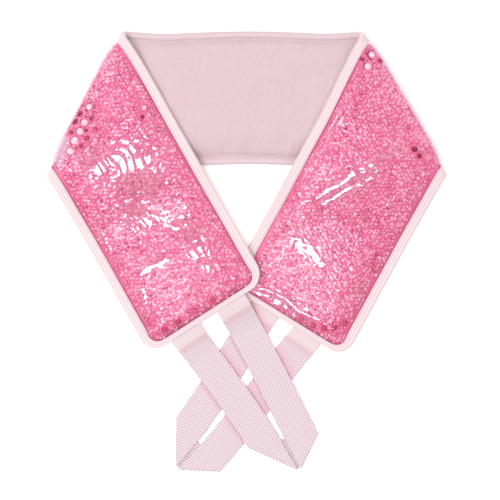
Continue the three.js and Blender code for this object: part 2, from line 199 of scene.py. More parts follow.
def near_crossing(px, py):
    """One at the corner of the right flap that the left flap lies on, easing to nothing round it."""
    cx, cy, _, _ = plan_place(pad_length(np.array([1.0])), np.array([FLAP_WIDTH / 2]))
    away = np.hypot(px - cx, py - cy)
    return 1 - smooth((away - CROSSING_CORE) / CROSSING_RUN)


def gel_depth(s, t):
    """Depth of the gel: shallow round the fold, full either side of it, squashed under the crossing."""
    px, py, _, past = plan_place(s, t)
    full = np.where(past < 0, CENTRE_GEL_DEPTH, FLAP_GEL_DEPTH)
    depth = FOLD_GEL_DEPTH + (full - FOLD_GEL_DEPTH) * smooth((np.abs(past) - FOLD_FLAT) / PUFF_RUN)
    squash = np.where((s > 0) & (past > 0), CROSSING_SQUASH * near_crossing(px, py), 0)
    return depth * (1 - squash) * dome_at(s, t)


def meeting_face(s, t):
    """The face where plush and gel meet: the middle lies on its own gel, and each flap on the middle
    and then, down a smooth step, on the table."""
    px, py, turn, _ = plan_place(s, t)
    edge = 1 - dome_at(s, t)
    middle = FILM_STACK + gel_depth(s, t) + edge * (-BINDING_FILM - FILM_STACK)
    table = PLUSH_OUTER + edge * (BINDING_PLUSH - PLUSH_OUTER)
    over = FILM_STACK + CENTRE_GEL_DEPTH + PLUSH_OUTER + STACK_CLEARANCE
    low_edge = -CENTRE_DIP * smooth(np.abs(px) / of_end(s, "fold_at")) - CENTRE_WIDTH / 2
    fall = smooth((low_edge - py + DRAPE_LEAD) / DRAPE_RUN)
    lift = np.where(s < 0, CROSSING_LIFT * near_crossing(px, py), 0)
    flap = table + over * (1 - fall) + lift
    return np.stack([px, py, middle + (flap - middle) * turn], axis=-1)


SLOPE_STEP = 0.4


def pad_point(s, t, h):
    """A point h off the meeting face along its normal, which is the cross product of its two slopes."""
    s, t, h = np.broadcast_arrays(np.asarray(s, float), np.asarray(t, float), np.asarray(h, float))
    along = meeting_face(s + SLOPE_STEP, t) - meeting_face(s - SLOPE_STEP, t)
    across = meeting_face(s, t + SLOPE_STEP) - meeting_face(s, t - SLOPE_STEP)
    normal = np.cross(along, across)
    normal /= np.linalg.norm(normal, axis=-1, keepdims=True)
    return meeting_face(s, t) + normal * h[..., None]


def even_places(sigma, t, side, reach):
    """Turns an even distance along a face that lies reach outside the fold into one along the pad:
    round the fold the face is longer than the pad by the ratio of their radii."""
    radius = fold_radius(t)
    start = along_at(side, 0, t)
    slope = of_end(side, "slope")
    far = (sigma - start) * np.cos(slope)
    outer = radius + reach
    d = np.where(far < np.pi * outer, far * radius / outer, far - np.pi * reach)
    return np.where(far > 0, along_at(side, np.maximum(d, 0), t), sigma)


def even_distance(s, t, reach):
    """The other way round: the even distance along the face at a place of the pad."""
    radius = fold_radius(t)
    d = beyond_fold(s, t)
    far = np.where(d < np.pi * radius, d * (radius + reach) / radius, d + np.pi * reach)
    start = along_at(np.where(s < 0, -1.0, 1.0), 0, t)
    return np.where(d > 0, start + far / np.cos(of_end(s, "slope")), np.abs(s))


# The face-down middle's share of the strip's length
MIDDLE_SHARE = 0.29


def lay_grid(grid, inset, reach, middle=MIDDLE_SHARE):
    """A grid over the whole strip, inset from its outline, as distances along and across. It is even
    along each flap, and the face-down middle takes the given share of the steps."""
    steps_along, steps_across = grid
    u = np.linspace(-1, 1, steps_along)[:, None]
    u = np.interp(u, [-1, -middle, middle, 1], [-1, -MIDDLE_SHARE, MIDDLE_SHARE, 1])
    v = np.linspace(-1, 1, steps_across)[None, :]
    side = np.where(u < 0, -1.0, 1.0)
    t = v * (FLAP_WIDTH / 2 - inset)
    for _ in range(4):
        over = np.clip(np.abs(t) - (FLAP_WIDTH / 2 - CORNER_RADIUS), 0, CORNER_RADIUS - inset)
        end = pad_length(side) - CORNER_RADIUS + np.sqrt((CORNER_RADIUS - inset) ** 2 - over**2)
        q = even_places(np.abs(u) * even_distance(side * end, t, reach), t, side, reach)
        t = v * (width_at(side * q) / 2 - inset)
    return side * q, t


# The solids' own box says where the folded strip stands in the frame
OUTLINE_REACH = 321
OUTLINE_STEPS = 2400
outline_s = np.tile(np.linspace(-OUTLINE_REACH, OUTLINE_REACH, OUTLINE_STEPS), 2)
outline_t = width_at(outline_s) / 2 * np.repeat([1, -1], OUTLINE_STEPS)
on_pad = np.abs(outline_s) < pad_length(outline_s) - CORNER_RADIUS
outline = meeting_face(outline_s[on_pad], outline_t[on_pad])
rim_low, rim_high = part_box("edge_binding")
SHIFT = np.array([
    (rim_low[0] + rim_high[0]) / 2 / MM - (outline[:, 0].min() + outline[:, 0].max()) / 2,
    rim_high[1] / MM - outline[:, 1].max(),
    0,
])


def put_mesh(name, points, faces, replaces=None, places=None):
    """Makes a mesh piece from arrays of points in millimetres and faces of equal size. Its places are
    three values for each point, kept for the material; both faces of a slab have the same."""
    mesh = bpy.data.meshes.new(name)
    count, size = faces.shape
    mesh.vertices.add(len(points))
    mesh.vertices.foreach_set("co", ((points + SHIFT) * MM).ravel().astype(np.float32))
    mesh.loops.add(count * size)
    mesh.loops.foreach_set("vertex_index", faces.ravel().astype(np.int32))
    mesh.polygons.add(count)
    mesh.polygons.foreach_set("loop_start", np.arange(0, count * size, size, dtype=np.int32))
    mesh.polygons.foreach_set("use_smooth", np.ones(count, dtype=bool))
    if places:
        kept = np.stack(np.broadcast_arrays(*places), axis=-1).ravel()
        layer = mesh.attributes.new("place", "FLOAT_VECTOR", "POINT")
        layer.data.foreach_set("vector", np.resize(kept, 3 * len(points)).astype(np.float32))
    mesh.update(calc_edges=True)
    piece = bpy.data.objects.new(name, mesh)
    bpy.context.scene.collection.objects.link(piece)
    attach(piece, "root")
    if replaces:
        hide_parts(replaces)
    return piece


def grid_faces(rows, columns, base=0, wrap_rows=False, wrap_columns=False):
    """Quads of a grid of points numbered row by row, closed on itself where asked."""
    r = np.arange(rows if wrap_rows else rows - 1)[:, None]
    c = np.arange(columns if wrap_columns else columns - 1)[None, :]
    r2, c2 = (r + 1) % rows, (c + 1) % columns
    quads = [r * columns + c, r2 * columns + c, r2 * columns + c2, r * columns + c2]
    return np.stack([q.ravel() for q in np.broadcast_arrays(*quads)], axis=1) + base


def slab(upper, lower):
    """A closed sheet between two grids: both faces, and a strip round their shared rim."""
    rows, columns = upper.shape[:2]
    total = rows * columns
    top = grid_faces(rows, columns)
    under = grid_faces(rows, columns, total)[:, ::-1]
    number = np.arange(total).reshape(rows, columns)
    rim = np.concatenate([number[0, :-1], number[:-1, -1], number[-1, :0:-1], number[:0:-1, 0]])
    after = np.roll(rim, -1)
    side = np.stack([rim, after, after + total, rim + total], axis=1)
    points = np.concatenate([upper.reshape(-1, 3), lower.reshape(-1, 3)])
    return points, np.concatenate([top, under, side])


def ripple(x, y, scale, seed, terms=9):
    """Smooth low relief between about -1 and 1: a sum of sine waves in seeded directions."""
    waves = np.random.default_rng(seed)
    total = 0
    for _ in range(terms):
        angle, phase = waves.uniform(0, 2 * np.pi, 2)
        rate = 2 * np.pi / (scale * waves.uniform(0.6, 1.6))
        total = total + np.sin((x * np.cos(angle) + y * np.sin(angle)) * rate + phase)
    return total / np.sqrt(terms) / 1.2


class Flow:
    """A node socket whose sums, products and powers add the Math nodes for them."""

    def __init__(self, maker, socket):
        self.maker, self.socket = maker, socket

    def math(self, operation, first, second):
        return self.maker.node("ShaderNodeMath", {0: first, 1: second}, operation=operation)

    def __add__(self, other):
        return self.math("ADD", self, other)

    def __sub__(self, other):
        return self.math("SUBTRACT", self, other)

    def __mul__(self, other):
        return self.math("MULTIPLY", self, other)

    def __pow__(self, other):
        return self.math("POWER", self, other)

    def sine(self):
        return self.maker.node("ShaderNodeMath", {0: self}, operation="SINE")


class Finish:
    """A material under construction."""

    def __init__(self, name):
        self.material = bpy.data.materials.new(name)
        self.material.use_nodes = True
        self.tree = self.material.node_tree
        self.surface = self.tree.nodes["Principled BSDF"]

    def node(self, kind, inputs, output=0, **settings):
        """Adds a node: its settings first, then the values or links of its sockets."""
        made = self.tree.nodes.new(kind)
        for key, value in settings.items():
            setattr(made, key, value)
        for key, value in inputs.items():
            self.feed(made.inputs[key], value)
        return Flow(self, made.outputs[output])

    def feed(self, socket, value):
        """Links a flow to a socket, or sets the socket's own value."""
        if isinstance(value, Flow):
            self.tree.links.new(value.socket, socket)
        elif socket.type == "RGBA" and len(value) == 3:
            socket.default_value = (*value, 1)
        else:
            socket.default_value = value

    def set(self, **sockets):
        """Feeds sockets of the main shader by name, with underscores for blanks."""
        for key, value in sockets.items():
            self.feed(self.surface.inputs[key.replace("_", " ")], value)

    def attribute(self, name, output):
        return self.node("ShaderNodeAttribute", {}, output, attribute_name=name)

    def place(self, axis):
        """One of the three values that the mesh keeps for each of its points."""
        return self.node("ShaderNodeSeparateXYZ", {0: self.attribute("place", 1)}, axis)

    def noise(self, scale, detail=2.0):
        """Noise over the piece's own coordinates."""
        spot = self.node("ShaderNodeTexCoord", {}, 3)
        return self.node("ShaderNodeTexNoise", {"Vector": spot, "Scale": scale, "Detail": detail})

    def ramp(self, value, stops):
        """A colour ramp: each stop is its place and its screen colour."""
        made = self.node("ShaderNodeValToRGB", {0: value})
        elements = made.socket.node.color_ramp.elements
        for _ in stops[2:]:
            elements.new(0.5)
        for element, (place, *colour) in zip(elements, stops):
            element.position, element.color = place, (*srgb(*colour), 1)
        return made

    def blend(self, factor, first, second):
        """Mixes two colours."""
        return self.node("ShaderNodeMix", {0: factor, 6: first, 7: second}, 2, data_type="RGBA")

    def bump(self, height, strength, distance):
        return self.node("ShaderNodeBump", {"Height": height, "Strength": strength, "Distance": distance})

    def dress(self, *pieces):
        """Gives the material to the pieces."""
        for piece in pieces:
            piece.data.materials.append(self.material)


def srgb(red, green, blue):
    """A colour from its screen values, 0 to 255, as the linear values that shaders take."""
    c = np.array([red, green, blue]) / 255
    return tuple(np.where(c <= 0.04045, c / 12.92, ((c + 0.055) / 1.055) ** 2.4))


PLUSH_GRID = (520, 84)
GRIP_RUN = 4
PILE_HEIGHT = 0.06
SHADE_REACH = 11
FAR_AWAY = 1e3

plush_s, plush_t = lay_grid(PLUSH_GRID, RIM_INSET, -PLUSH_THICKNESS)
plush_inset = inset_at(plush_s, plush_t)
grip = smooth((plush_inset - PLUSH_LIP) / GRIP_RUN)
nap = 0.16 * ripple(plush_s, plush_t, 4.5, 3) + 0.22 * ripple(plush_s, plush_t, 26, 5)
nap = nap + PILE_HEIGHT * rng.standard_normal(plush_s.shape)
plush_face = HALF_GAP + PLUSH_EDGE_THICKNESS + grip * (PLUSH_THICKNESS - PLUSH_EDGE_THICKNESS + nap)
pressed = plan_place(plush_s, plush_t)[2] > 0.5
plush_face = np.where(pressed, np.minimum(plush_face, PLUSH_OUTER), plush_face)
points, faces = slab(pad_point(plush_s, plush_t, plush_face), pad_point(plush_s, plush_t, HALF_GAP))


def flap_edge(side):
    """The line of a flap's inner edge from its fold to its end, seen from above."""
    s = side * np.linspace(of_end(side, "fold_at") - 30, pad_length(side) - CORNER_RADIUS, 90)
    px, py, _, past = plan_place(s, -width_at(s) / 2)
    return np.stack([px, py], axis=1)[past > 0]


def painted_pink_shade(s, t):
    """How deep the middle's pile lies in the flaps' shade, painted pink into its colour: it falls off with
    the distance to the nearer flap's inner edge."""
    px, py, _, past = plan_place(s, t)
    nearest = np.full(px.shape, FAR_AWAY)
    for side in (-1.0, 1.0):
        for x, y in flap_edge(side):
            nearest = np.minimum(nearest, np.hypot(px - x, py - y))
    return np.where(past < 0, np.exp(-nearest / SHADE_REACH), 0)


places = plush_s, plush_t, painted_pink_shade(plush_s, plush_t)
plush = put_mesh("plush_backing", points, faces, "backing_fabric", places)

finish = Finish("plush")
pile = finish.noise(1500, 4)
inputs = {"Vector": finish.attribute("place", 1), "Scale": 0.32, "Distortion": 3.0}
rows = finish.node("ShaderNodeTexWave", inputs, bands_direction="Y")
tone = finish.blend(finish.noise(90, 3), srgb(222, 196, 201), srgb(232, 209, 213))
# Painted shade: the pile is tinted pink by its depth in the flaps' shade, its third place value.
tone = finish.blend(finish.place(2) * 0.9, tone, srgb(236, 164, 184))
finish.set(
    Base_Color=finish.blend(pile * 0.6, tone, srgb(215, 184, 192)),
    Roughness=0.95,
    Sheen_Weight=0.12,
    Sheen_Roughness=0.5,
    Normal=finish.bump(pile + rows * 0.35, 0.55, 0.0006),
)
finish.dress(plush)

# Gel beads
# Soft round gel beads about 3 mm across fill the pouch. They lie packed against the film in one
# visible layer over a bed of the same gel, with large bubbles where the pad folds.
BEAD_PITCH = 3.05
BEAD_ROW = BEAD_PITCH * 0.866
BEAD_RADIUS = 1.58
POUCH_REACH = 5.0
BEAD_SIDES = 8
BEAD_BANDS = 4
BEAD_ROWS = 20
BEAD_STEPS = 114
BEAD_SHAKE = 0.5
BEAD_SPREAD = 0.13
BEAD_SLACK = 0.25
POUCH_MARGIN = 1.5
BUBBLE_LIFT = 0.35
BUBBLE_ROOM = 0.6
BUBBLE_SHADE_RUN = 2.6
CLEAR_TONE = 0.55
# Painted shade round each clear bubble: how much wider its dark ball is, its tone and how deep it sinks
SHADE_RIM_WIDER, SHADE_RIM_TONE, SHADE_RIM_SUNK = 1.3, 0.12, 0.8
BED_GRID = (240, 44)
BED_INSET = 4.4
BED_UNDER = 1.5
BED_LEAST = 0.12


def bead_lattice():
    """Rows of beads in staggered order over the face of the pouch, each moved a little at random."""
    j, i = np.mgrid[-BEAD_ROWS:BEAD_ROWS + 1, -BEAD_STEPS:BEAD_STEPS + 1]
    shake = np.clip(rng.normal(0, BEAD_SHAKE, (2, *j.shape)), -1.1, 1.1)
    sigma = (i + 0.5 * (j % 2)) * BEAD_PITCH + shake[0]
    t = j * BEAD_ROW + shake[1]
    size = np.clip(rng.normal(1, BEAD_SPREAD, j.shape), 0.7, 1.25)
    tone = rng.uniform(0, 1, j.shape)
    return sigma, t, size, tone


bead_sigma, bead_t, bead_size, bead_tone = bead_lattice()
bead_side = np.where(bead_sigma < 0, -1.0, 1.0)
bead_s = bead_side * even_places(np.abs(bead_sigma), bead_t, bead_side, POUCH_REACH)
bead_inset = np.where(np.abs(bead_s) < pad_length(bead_s), pouch_inset(bead_s, bead_t), -1)
bead_kept = bead_inset > GEL_EDGE + POUCH_MARGIN


def bead_shape(sides, bands):
    """A closed ball of a few flat bands: rings of points between two poles."""
    rise = np.linspace(0, np.pi, bands + 1)[1:-1]
    turn = np.linspace(0, 2 * np.pi, sides, endpoint=False)
    ring = np.stack([
        np.sin(rise)[:, None] * np.cos(turn),
        np.sin(rise)[:, None] * np.sin(turn),
        np.cos(rise)[:, None] + 0 * turn,
    ], axis=-1).reshape(-1, 3)
    points = np.concatenate([[[0, 0, 1]], ring, [[0, 0, -1]]])
    k = np.arange(sides)
    after = (k + 1) % sides
    last = len(points) - 1
    faces = [np.stack([0 * k, 1 + k, 1 + after], axis=1)]
    for band in range(bands - 2):
        a, b = 1 + band * sides, 1 + (band + 1) * sides
        faces.append(np.stack([a + k, b + k, b + after], axis=1))
        faces.append(np.stack([a + k, b + after, a + after], axis=1))
    base = 1 + (bands - 2) * sides
    faces.append(np.stack([base + k, last + 0 * k, base + after], axis=1))
    return points, np.concatenate(faces)


def put_balls(name, balls, ball_faces, *values):
    """Balls joined in one mesh, from the points of each, with each ball's values as its places."""
    count, size = balls.shape[:2]
    faces = ball_faces[None] + (np.arange(count) * size)[:, None, None]
    places = [np.repeat(value, size) for value in values]
    piece = put_mesh(name, balls.reshape(-1, 3), faces.reshape(-1, 3), places=places)
    return piece


def bead_field(name, chosen, sides=BEAD_SIDES, bands=BEAD_BANDS):
    """The chosen beads, whose tops touch the film's inner face."""
    shape, shape_faces = bead_shape(sides, bands)
    s, t = bead_s[chosen], bead_t[chosen]
    size = np.minimum(bead_size[chosen] * BEAD_RADIUS, gel_depth(s, t) / 2 + BEAD_SLACK)
    centres = pad_point(s, t, -(HALF_GAP + gel_depth(s, t) - size))
    balls = centres[:, None, :] + shape[None] * size[:, None, None]
    return put_balls(name, balls, shape_faces, bead_tone[chosen], s, t)


def lying(x, y, lie):
    """Distances along and across a line that lies at an angle in degrees."""
    lie = np.radians(lie)
    return x * np.cos(lie) + y * np.sin(lie), y * np.cos(lie) - x * np.sin(lie)


# The stretch at the left fold's edge where the gel has slipped away: its middle, half its length and
# width, and its lie in degrees
BARE_X, BARE_Y, BARE_LENGTH, BARE_WIDTH, BARE_LIE = -141.5, -41.5, 13, 4.6, 69


def bare_pouch(s, t):
    """One where the pouch is empty, seen from above as a soft oval on the fold's outer side."""
    px, py, turn, _ = plan_place(s, t)
    along, across = lying(px - BARE_X, py - BARE_Y, BARE_LIE)
    return (1 - smooth((np.hypot(along / BARE_LENGTH, across / BARE_WIDTH) - 0.6) / 0.6)) * (turn > 0.3)


bead_kept &= bare_pouch(bead_s, bead_t) < 0.5

# Large clear bubbles and dark lumps of gel, seen from above: middle, radius and tone
BUBBLES = [
    (-121.1, -7.9, 2.6, 0.85), (-124.6, -19.5, 2.9, 0.9), (-128.1, -26.2, 2.9, 1),
    (-132.2, -33.4, 3, 1), (-135.7, -41, 2.8, 0.95), (-126.9, -13.1, 2.2, 0.05),
    (-129.9, -19.8, 2.3, 0), (-119.6, -16.2, 1.9, 0.1), (-123.6, -25.2, 1.3, 0.1),
    (-134, -27.2, 1.8, 0.1), (-122.9, -31, 2, 0.15), (-127.4, -37, 1.7, 0.2),
    (-116, -24.5, 1.6, 0.25), (-79.5, -8.5, 2.4, 0.7), (-76, -14, 2, 0.6),
    (-81, -15.5, 1.7, 0.05), (91.2, 31.2, 2.8, 0.8), (88.9, 22.8, 3, 0.85),
    (94.5, 18.8, 2.6, 0.6), (97, 26, 2, 0.1), (84.5, 28.5, 1.8, 0.1),
    (123.9, -39.5, 2.3, 0), (127.7, -44.8, 1.9, 0), (134.5, -45.6, 3.2, 0.5),
    (119, -35, 2, 0.5), (-63.6, -175.1, 2.4, 0.3), (-53.4, -169.3, 2.2, 0.2),
    (-41.3, -161.5, 2.4, 0.35), (-28.1, -153.5, 2.2, 0.3), (56.2, -174.5, 2.4, 0.25),
    (63.8, -174, 2.3, 0.2), (47.9, -172.5, 2.2, 0.3), (38.8, -167.5, 2, 0.35),
    (-76, -171, 2.2, 0.4), (72, -171, 2.2, 0.3),
]


def nearest_bead(x, y):
    """The lattice bead on a flap that lies nearest to a place seen from above."""
    px, py, turn, _ = plan_place(bead_s, bead_t)
    away = np.where((turn > 0.7) & (bead_inset > GEL_EDGE), np.hypot(px - x, py - y), FAR_AWAY)
    return np.unravel_index(np.argmin(away), away.shape), away


def strip_place(x, y, spot):
    """Distances along and across the strip at a place seen from above, from the bead beside it: a flap is
    flat, so the way to the place is turned into the strip's own two directions."""
    s, t = bead_s[spot], bead_t[spot]
    here = np.array(plan_place(s, t)[:2])
    along = np.array(plan_place(s + 1, t)[:2]) - here
    across = np.array(plan_place(s, t + 1)[:2]) - here
    miss = np.array([x, y]) - here
    return s + miss @ along, t + miss @ across


# Each clear bubble gets a wider dark ball sunk round it as a painted shade rim, and the beads beside a
# bubble are darkened as painted shade
bubbles = []
for x, y, radius, tone in BUBBLES:
    spot, away = nearest_bead(x, y)
    middle = strip_place(x, y, spot)
    bubbles.append((*middle, radius, tone, 0))
    if tone > CLEAR_TONE:
        bubbles.append((*middle, radius * SHADE_RIM_WIDER, SHADE_RIM_TONE, SHADE_RIM_SUNK))
    bead_kept &= away > radius + BUBBLE_ROOM
    bead_tone[away < radius + BUBBLE_SHADE_RUN] *= 0.35


def bubble_field(name):
    """The large bubbles joined in one mesh, each flattened where the pouch is shallower than it."""
    shape, shape_faces = bead_shape(16, 10)
    s, t, radius, tone, sunk = (np.array(column)[:, None] for column in zip(*bubbles))
    half = np.minimum(radius, gel_depth(s, t) / 2 + BUBBLE_LIFT)
    up = pad_point(s, t, -1.0) - pad_point(s, t, 0.0)
    centre = pad_point(s, t, -(HALF_GAP + gel_depth(s, t) + BUBBLE_LIFT - half - sunk))
    points = shape[None] * radius[..., None]
    along = (points * up).sum(axis=-1, keepdims=True)
    points = points + up * along * (half / radius - 1)[..., None] + centre
    return put_balls(name, points, shape_faces, tone, s, t)


bubble_piece = bubble_field("gel_bubbles")
bead_far = beyond_fold(bead_s, bead_t) - np.pi * fold_radius(bead_t) / 2
fields = [
    bead_field("gel_beads_left", bead_kept & (bead_s < 0) & (bead_far > 0)),
    bead_field("gel_beads_right", bead_kept & (bead_s > 0) & (bead_far > 0)),
    bead_field("gel_beads_middle", bead_kept & (bead_far <= 0), 6, 3),
]

bed_s, bed_t = lay_grid(BED_GRID, BED_INSET, POUCH_REACH)
bed_depth = np.maximum(gel_depth(bed_s, bed_t) - BED_UNDER, BED_LEAST)
points, faces = slab(pad_point(bed_s, bed_t, -HALF_GAP), pad_point(bed_s, bed_t, -HALF_GAP - bed_depth))
places = bare_pouch(bed_s, bed_t), bed_s, bed_t
bed = put_mesh("gel_bed", points, faces, "gel_bead_fill", places)

finish = Finish("gel_beads")
# Fine specks pushed to the ramp's light and dark ends: painted glints and painted shade for the light among
# the beads.
glint_and_shade_speck = (finish.noise(560, 4) - 0.5) * finish.noise(30, 2)
mixed = finish.place(0) * 0.34 + finish.noise(55, 3) * 0.3 + glint_and_shade_speck * 2.8 + 0.13
colour = finish.ramp(mixed, [
    (0.1, 186, 66, 112),
    (0.3, 241, 152, 190),
    (0.55, 249, 197, 218),
    (0.8, 255, 238, 242),
])
finish.set(Base_Color=colour, Roughness=0.22, Specular_IOR_Level=0.5)
finish.set(Subsurface_Weight=0.12, Subsurface_Radius=(0.004, 0.001, 0.002))
finish.dress(*fields)

finish = Finish("gel_bubbles")
# Low tones are dark crimson, for the dark lumps and the painted shade rims; high tones are near white,
# painted glare on the clear bubbles.
colour = finish.ramp(finish.place(0) + finish.noise(500) * 0.2 - 0.1, [
    (0.0, 140, 22, 66),
    (0.3, 206, 78, 128),
    (0.6, 250, 190, 210),
    (0.9, 255, 252, 252),
])
finish.set(Base_Color=colour, Roughness=0.12)
finish.dress(bubble_piece)

finish = Finish("gel_bed")
tone = finish.blend(finish.noise(120, 3), srgb(231, 114, 163), srgb(243, 148, 189))
lilac = finish.blend(finish.noise(260, 3), srgb(186, 160, 178), srgb(232, 220, 228))
finish.set(Base_Color=finish.blend(finish.place(0), tone, lilac), Roughness=0.35)
finish.dress(bed)

# Clear front film
# A sheet of clear soft vinyl welded over the gel. It clings to the beads, so its face is bumpy, and it is
# glossy enough to carry hard white glare, with creases in the patches where it lies loose.
FILM_GRID = (560, 86)
FILM_MIDDLE_SHARE = 0.12
FILM_SKIN = 0.22
FILM_AIR = 0.35
FACE_DOWN_AIR = 0.36
RIM_GAP = 0.15
RIM_RUN = 4
RIM_SWELL = 0.75


def bead_relief(sigma, t):
    """Height of the bead tops under the film: for each point the highest of the nine beads round it."""
    height = np.zeros(np.broadcast(sigma, t).shape)
    row = np.rint(t / BEAD_ROW).astype(int)
    for dj in (-1, 0, 1):
        j = row + dj
        step = np.rint(sigma / BEAD_PITCH - 0.5 * (j % 2)).astype(int)
        for di in (-1, 0, 1):
            jj = np.clip(j + BEAD_ROWS, 0, 2 * BEAD_ROWS)
            ii = np.clip(step + di + BEAD_STEPS, 0, 2 * BEAD_STEPS)
            gap = np.hypot(sigma - bead_sigma[jj, ii], t - bead_t[jj, ii])
            radius = BEAD_RADIUS * bead_size[jj, ii]
            height = np.maximum(height, np.sqrt(np.maximum(radius**2 - gap**2, 0)) - radius + BEAD_RADIUS)
    return height


# Where the film lies loose over the beads: its middle from above, its length, width and lie in degrees,
# the pitch and height of its creases, which run along it, and the length of their breaks.
LOOSE_PATCHES = [
    (-86, -56, 54, 40, -56, 6.6, 0.4, 21),
    (-117, -49, 30, 20, -50, 8, 0.5, 21),
    (-84, -88, 36, 24, -46, 9, 0.6, 21),
    (-62, -93, 24, 12, -48, 6, 0.4, 21),
    (-42, -108, 48, 20, -62, 6, 0.4, 7),
    (-80, -153, 26, 9, -72, 6, 0.5, 9),
    (-72, -128, 26, 10, 30, 9, 0.24, 21),
    (-110, -110, 46, 5, -60, 5, 0.6, 21),
    (74, -64, 66, 17, 31, 7, 0.5, 8),
    (45, -117, 34, 12, -42, 8, 0.3, 8),
    (30, -158, 56, 12, -32, 7, 0.45, 8),
    (84, -150, 28, 7, 78, 6, 0.45, 12),
    (110, -40, 12, 8, 20, 5, 0.5, 21),
    (66, -18, 14, 9, 60, 6, 0.4, 21),
    (-60, -20, 16, 8, -60, 6, 0.4, 21),
]


def creased(s, t):
    """Looseness from 0 to 1, and the height of the creases: in each patch a wave across its length,
    bent a little by low ripples, under a soft oval window."""
    px, py, turn, _ = plan_place(s, t)
    loose, height = 0 * px, 0 * px
    bend = 1.6 * ripple(px, py, 26, 41)
    for x, y, length, width, lie, pitch, rise, breaks in LOOSE_PATCHES:
        along, across = lying(px - x, py - y, lie)
        across = across + bend
        oval = np.hypot(along / length, across / width) * 2 + 0.3 * ripple(px, py, 9, 42)
        window = smooth((1.15 - oval) / 0.5) * (turn > 0.9)
        broken = 0.65 + 0.35 * np.sin(along * 2 * np.pi / breaks + across)
        loose = np.maximum(loose, window)
        height = height + window * rise * broken * np.sin(2 * np.pi * across / pitch)
    return loose, height


film_s, film_t = lay_grid(FILM_GRID, RIM_INSET, POUCH_REACH, FILM_MIDDLE_SHARE)
pouch = pouch_inset(film_s, film_t)
rim = smooth((pouch - GEL_EDGE) / RIM_RUN)
film_sigma = np.sign(film_s) * even_distance(film_s, film_t, POUCH_REACH)
relief = bead_relief(film_sigma, film_t) - BEAD_RADIUS
loose, creases = creased(film_s, film_t)
swell = 0.2 * ripple(film_s, film_t, 34, 21) + 0.1 * ripple(film_s, film_t, 12, 22)
film_in = HALF_GAP + np.maximum(rim * LAYER_GAP, RIM_GAP) + gel_depth(film_s, film_t)
film_in = film_in + rim * ((0.5 - 0.47 * loose) * relief + FILM_AIR + swell * (1 - 0.6 * loose) + creases)
film_in = film_in + RIM_SWELL * smooth((pouch - BINDING_WIDTH) / 1.2) * (1 - smooth((pouch - 9) / 5))
face_down = plan_place(film_s, film_t)[2] < 0.5
film_floor = HALF_GAP + LAYER_GAP + gel_depth(film_s, film_t) + FACE_DOWN_AIR
film_in = np.where(face_down, np.minimum(film_in, film_floor), film_in)
points, faces = slab(pad_point(film_s, film_t, -film_in), pad_point(film_s, film_t, -film_in - FILM_SKIN))
film = put_mesh("front_film", points, faces, "clear_film", (loose, film_s, film_t))

finish = Finish("clear_film")
finish.set(Base_Color=(1, 1, 1), Metallic=1.0, Roughness=0.07)
finish.set(Normal=finish.bump(finish.noise(420), 0.12, 0.0004))
clear = finish.node("ShaderNodeBsdfTransparent", {"Color": srgb(255, 244, 248)})
facing = finish.node("ShaderNodeLayerWeight", {"Blend": 0.5}, 1)
mirror = facing**4 * 0.35 + 0.017 + finish.place(0) * 0.06
gloss = Flow(finish, finish.surface.outputs[0])
glass = finish.node("ShaderNodeMixShader", {0: mirror, 1: clear, 2: gloss})
finish.feed(finish.tree.nodes["Material Output"].inputs["Surface"], glass)
finish.dress(film)

# Edge binding
# A strip of satiny knit folded over the rim and sewn through, with fine ribs along it. It grips the film
# and the plush all the way round, both ends too, with a row of stitches on either side.
RIB_PITCH = 2.5
RIB_HEIGHT = 0.13
RIM_ROUND = 1.2
LIP_MIDDLE = 4
BINDING_STEPS = (330, 14, 40)
STITCH_PITCH = 2.9
STITCH_LENGTH = 2.1
STITCH_STATIONS = 5
STITCH_SIDES = 4
STITCH_RISE = 1.3
FILM_SEAM = BINDING_WIDTH - 1.5
PLUSH_SEAM = PLUSH_LIP - 1.2
THREAD = 0.2


def round_path(steps_edge, steps_corner, steps_end):
    """Stations once round the outline, as a rule that gives their place at any inset from it."""
    rows = []
    parts = [(0, 1, steps_edge), (1, np.pi / 2, steps_corner), (2, 1, steps_end)]
    for side, edge, outward in ((-1, 1, False), (1, 1, True), (1, -1, False), (-1, -1, True)):
        for kind, whole, steps in parts if outward else parts[::-1]:
            shares = np.linspace(0, whole, steps, endpoint=False)
            rows += [(kind, side, edge, share if outward else whole - share) for share in shares]
    return np.array(rows)


def path_places(path, inset):
    """Places of the stations at each inset: along the edge, round the corner, and to the end's middle."""
    kind, side, edge, share = np.split(path, 4, axis=1)
    round_off = CORNER_RADIUS - inset
    corner_q = pad_length(side) - CORNER_RADIUS
    q_edge = share * corner_q
    t_edge = edge * (width_at(side * q_edge) / 2 - inset)
    q_corner = corner_q + round_off * np.sin(share)
    t_corner = edge * (FLAP_WIDTH / 2 - CORNER_RADIUS + round_off * np.cos(share))
    q_end = pad_length(side) - inset
    t_end = edge * (FLAP_WIDTH / 2 - CORNER_RADIUS) * (1 - share)
    q = np.where(kind == 0, q_edge, np.where(kind == 1, q_corner, q_end))
    t = np.where(kind == 0, t_edge, np.where(kind == 1, t_corner, t_end))
    return side * q, t


